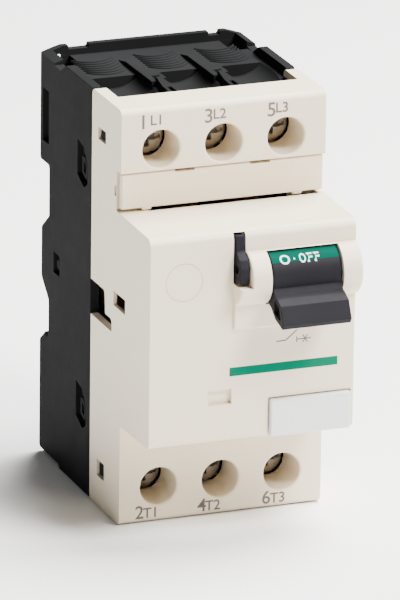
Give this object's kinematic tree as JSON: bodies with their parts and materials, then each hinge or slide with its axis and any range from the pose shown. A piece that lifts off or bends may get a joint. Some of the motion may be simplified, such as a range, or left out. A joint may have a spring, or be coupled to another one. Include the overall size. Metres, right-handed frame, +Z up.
{
  "type": "motor protection breaker",
  "caption": "Three-pole rail-mounted motor protection breaker with a rocker handle, ivory front cover and black base casing.",
  "frame": {"origin": "middle of the footprint, on the bottom face", "axes": "+Z up, the front with the handle faces -Y, +X to the right seen from the front"},
  "size_m": [0.0446, 0.076, 0.089],
  "materials": {
    "cream_plastic": "fine moulded texture, warm ivory",
    "black_plastic": "fine moulded texture, near black",
    "charcoal_plastic": "satin moulded charcoal",
    "white_plastic": "smooth cool white",
    "nickel_steel": "nickel plated",
    "zinc_steel": "zinc plated",
    "copper": "bare copper",
    "brass": "satin brass"
  },
  "bodies": {
    "root": {"base_casing": "black_plastic", "front_cover": "cream_plastic", "marker_plate": "white_plastic", "toggle_shaft": "zinc_steel", "drive_shaft": "zinc_steel", "mechanism_frame": "zinc_steel", "main_spring": "zinc_steel", "rail_clip_spring": "zinc_steel", "line_bar_1": "copper", "load_bar_1": "copper", "fixed_contact_1": "copper", "arc_chute_1": "zinc_steel", "trip_coil_1": "copper", "magnet_yoke_1": "zinc_steel", "line_bar_2": "copper", "load_bar_2": "copper", "fixed_contact_2": "copper", "arc_chute_2": "zinc_steel", "trip_coil_2": "copper", "magnet_yoke_2": "zinc_steel", "line_bar_3": "copper", "load_bar_3": "copper", "fixed_contact_3": "copper", "arc_chute_3": "zinc_steel", "trip_coil_3": "copper", "magnet_yoke_3": "zinc_steel"},
    "slot_cover": {"aux_slot_cover": "cream_plastic"},
    "toggle": {"toggle_lever": "charcoal_plastic"},
    "link": {"drive_link": "zinc_steel"},
    "drive": {"drive_lever": "zinc_steel"},
    "carrier": {"contact_carrier": "black_plastic", "contact_bridge_1": "brass", "contact_bridge_2": "brass", "contact_bridge_3": "brass", "contact_spring_1": "zinc_steel", "contact_spring_2": "zinc_steel", "contact_spring_3": "zinc_steel"},
    "trip_bar": {"trip_bar": "black_plastic"},
    "padlock_tab": {"padlock_tab": "charcoal_plastic"},
    "rail_clip": {"rail_clip": "charcoal_plastic"},
    "plunger_1": {"trip_plunger_1": "zinc_steel"},
    "line_clamp_1": {"line_clamp_1": "zinc_steel"},
    "line_screw_1": {"line_screw_1": "nickel_steel"},
    "load_clamp_1": {"load_clamp_1": "zinc_steel"},
    "load_screw_1": {"load_screw_1": "nickel_steel"},
    "plunger_2": {"trip_plunger_2": "zinc_steel"},
    "line_clamp_2": {"line_clamp_2": "zinc_steel"},
    "line_screw_2": {"line_screw_2": "nickel_steel"},
    "load_clamp_2": {"load_clamp_2": "zinc_steel"},
    "load_screw_2": {"load_screw_2": "nickel_steel"},
    "plunger_3": {"trip_plunger_3": "zinc_steel"},
    "line_clamp_3": {"line_clamp_3": "zinc_steel"},
    "line_screw_3": {"line_screw_3": "nickel_steel"},
    "load_clamp_3": {"load_clamp_3": "zinc_steel"},
    "load_screw_3": {"load_screw_3": "nickel_steel"}
  },
  "joints": [
    {"name": "toggle_swing", "type": "hinge", "parent": "root", "child": "toggle", "pos_m": [0.0102, -0.0268, 0.0568], "axis": [-1, 0, 0], "range_deg": [0, 72]},
    {"name": "link_swing", "type": "hinge", "parent": "toggle", "child": "link", "pos_m": [0.008, -0.02073, 0.06121], "axis": [-1, 0, 0], "range_deg": [-73, 1]},
    {"name": "drive_swing", "type": "hinge", "parent": "root", "child": "drive", "pos_m": [0.0102, -0.0206, 0.0399], "axis": [-1, 0, 0], "range_deg": [-1, 73]},
    {"name": "carrier_slide", "type": "slide", "parent": "root", "child": "carrier", "axis": [0, 1, 0], "range_m": [0, 0.0016]},
    {"name": "trip_bar_swing", "type": "hinge", "parent": "root", "child": "trip_bar", "pos_m": [0, 0.0034, 0.0352], "axis": [-1, 0, 0], "range_deg": [0, 8], "stiffness_Nm_per_rad": 0.02},
    {"name": "padlock_tab_slide", "type": "slide", "parent": "root", "child": "padlock_tab", "axis": [0, -1, 0], "range_m": [0, 0.007]},
    {"name": "slot_cover_swing", "type": "hinge", "parent": "root", "child": "slot_cover", "pos_m": [0, -0.00945, 0.0685], "axis": [1, 0, 0], "range_deg": [0, 90]},
    {"name": "rail_clip_slide", "type": "slide", "parent": "root", "child": "rail_clip", "axis": [0, 0, -1], "range_m": [0, 0.003], "stiffness_N_per_m": 900, "springref_m": -0.002, "deforming": ["rail_clip_spring"]},
    {"name": "plunger_1_slide", "type": "slide", "parent": "root", "child": "plunger_1", "axis": [0, -1, 0], "range_m": [0, 0.0012], "stiffness_N_per_m": 400},
    {"name": "line_clamp_1_slide", "type": "slide", "parent": "root", "child": "line_clamp_1", "axis": [0, 1, 0], "range_m": [0, 0.002]},
    {"name": "line_screw_1_turn", "type": "hinge", "parent": "line_clamp_1", "child": "line_screw_1", "pos_m": [-0.0136, 0, 0.0801], "axis": [0, 1, 0], "range_deg": [-1, 1030]},
    {"name": "load_clamp_1_slide", "type": "slide", "parent": "root", "child": "load_clamp_1", "axis": [0, 1, 0], "range_m": [0, 0.002]},
    {"name": "load_screw_1_turn", "type": "hinge", "parent": "load_clamp_1", "child": "load_screw_1", "pos_m": [-0.0136, 0, 0.00765], "axis": [0, 1, 0], "range_deg": [-1, 1030]},
    {"name": "plunger_2_slide", "type": "slide", "parent": "root", "child": "plunger_2", "axis": [0, -1, 0], "range_m": [0, 0.0012], "stiffness_N_per_m": 400},
    {"name": "line_clamp_2_slide", "type": "slide", "parent": "root", "child": "line_clamp_2", "axis": [0, 1, 0], "range_m": [0, 0.002]},
    {"name": "line_screw_2_turn", "type": "hinge", "parent": "line_clamp_2", "child": "line_screw_2", "pos_m": [0, 0, 0.0801], "axis": [0, 1, 0], "range_deg": [-1, 1030]},
    {"name": "load_clamp_2_slide", "type": "slide", "parent": "root", "child": "load_clamp_2", "axis": [0, 1, 0], "range_m": [0, 0.002]},
    {"name": "load_screw_2_turn", "type": "hinge", "parent": "load_clamp_2", "child": "load_screw_2", "pos_m": [0, 0, 0.00765], "axis": [0, 1, 0], "range_deg": [-1, 1030]},
    {"name": "plunger_3_slide", "type": "slide", "parent": "root", "child": "plunger_3", "axis": [0, -1, 0], "range_m": [0, 0.0012], "stiffness_N_per_m": 400},
    {"name": "line_clamp_3_slide", "type": "slide", "parent": "root", "child": "line_clamp_3", "axis": [0, 1, 0], "range_m": [0, 0.002]},
    {"name": "line_screw_3_turn", "type": "hinge", "parent": "line_clamp_3", "child": "line_screw_3", "pos_m": [0.0136, 0, 0.0801], "axis": [0, 1, 0], "range_deg": [-1, 1030]},
    {"name": "load_clamp_3_slide", "type": "slide", "parent": "root", "child": "load_clamp_3", "axis": [0, 1, 0], "range_m": [0, 0.002]},
    {"name": "load_screw_3_turn", "type": "hinge", "parent": "load_clamp_3", "child": "load_screw_3", "pos_m": [0.0136, 0, 0.00765], "axis": [0, 1, 0], "range_deg": [-1, 1030]}
  ],
  "couplings": [
    {"joint": "toggle_swing", "follows": "carrier_slide", "rad_per_m": 785.4},
    {"joint": "link_swing", "follows": "carrier_slide", "rad_per_m": -785.4},
    {"joint": "drive_swing", "follows": "carrier_slide", "rad_per_m": 785.4},
    {"joint": "line_screw_1_turn", "follows": "line_clamp_1_slide", "rad_per_m": 8976},
    {"joint": "load_screw_1_turn", "follows": "load_clamp_1_slide", "rad_per_m": 8976},
    {"joint": "line_screw_2_turn", "follows": "line_clamp_2_slide", "rad_per_m": 8976},
    {"joint": "load_screw_2_turn", "follows": "load_clamp_2_slide", "rad_per_m": 8976},
    {"joint": "line_screw_3_turn", "follows": "line_clamp_3_slide", "rad_per_m": 8976},
    {"joint": "load_screw_3_turn", "follows": "load_clamp_3_slide", "rad_per_m": 8976}
  ]
}
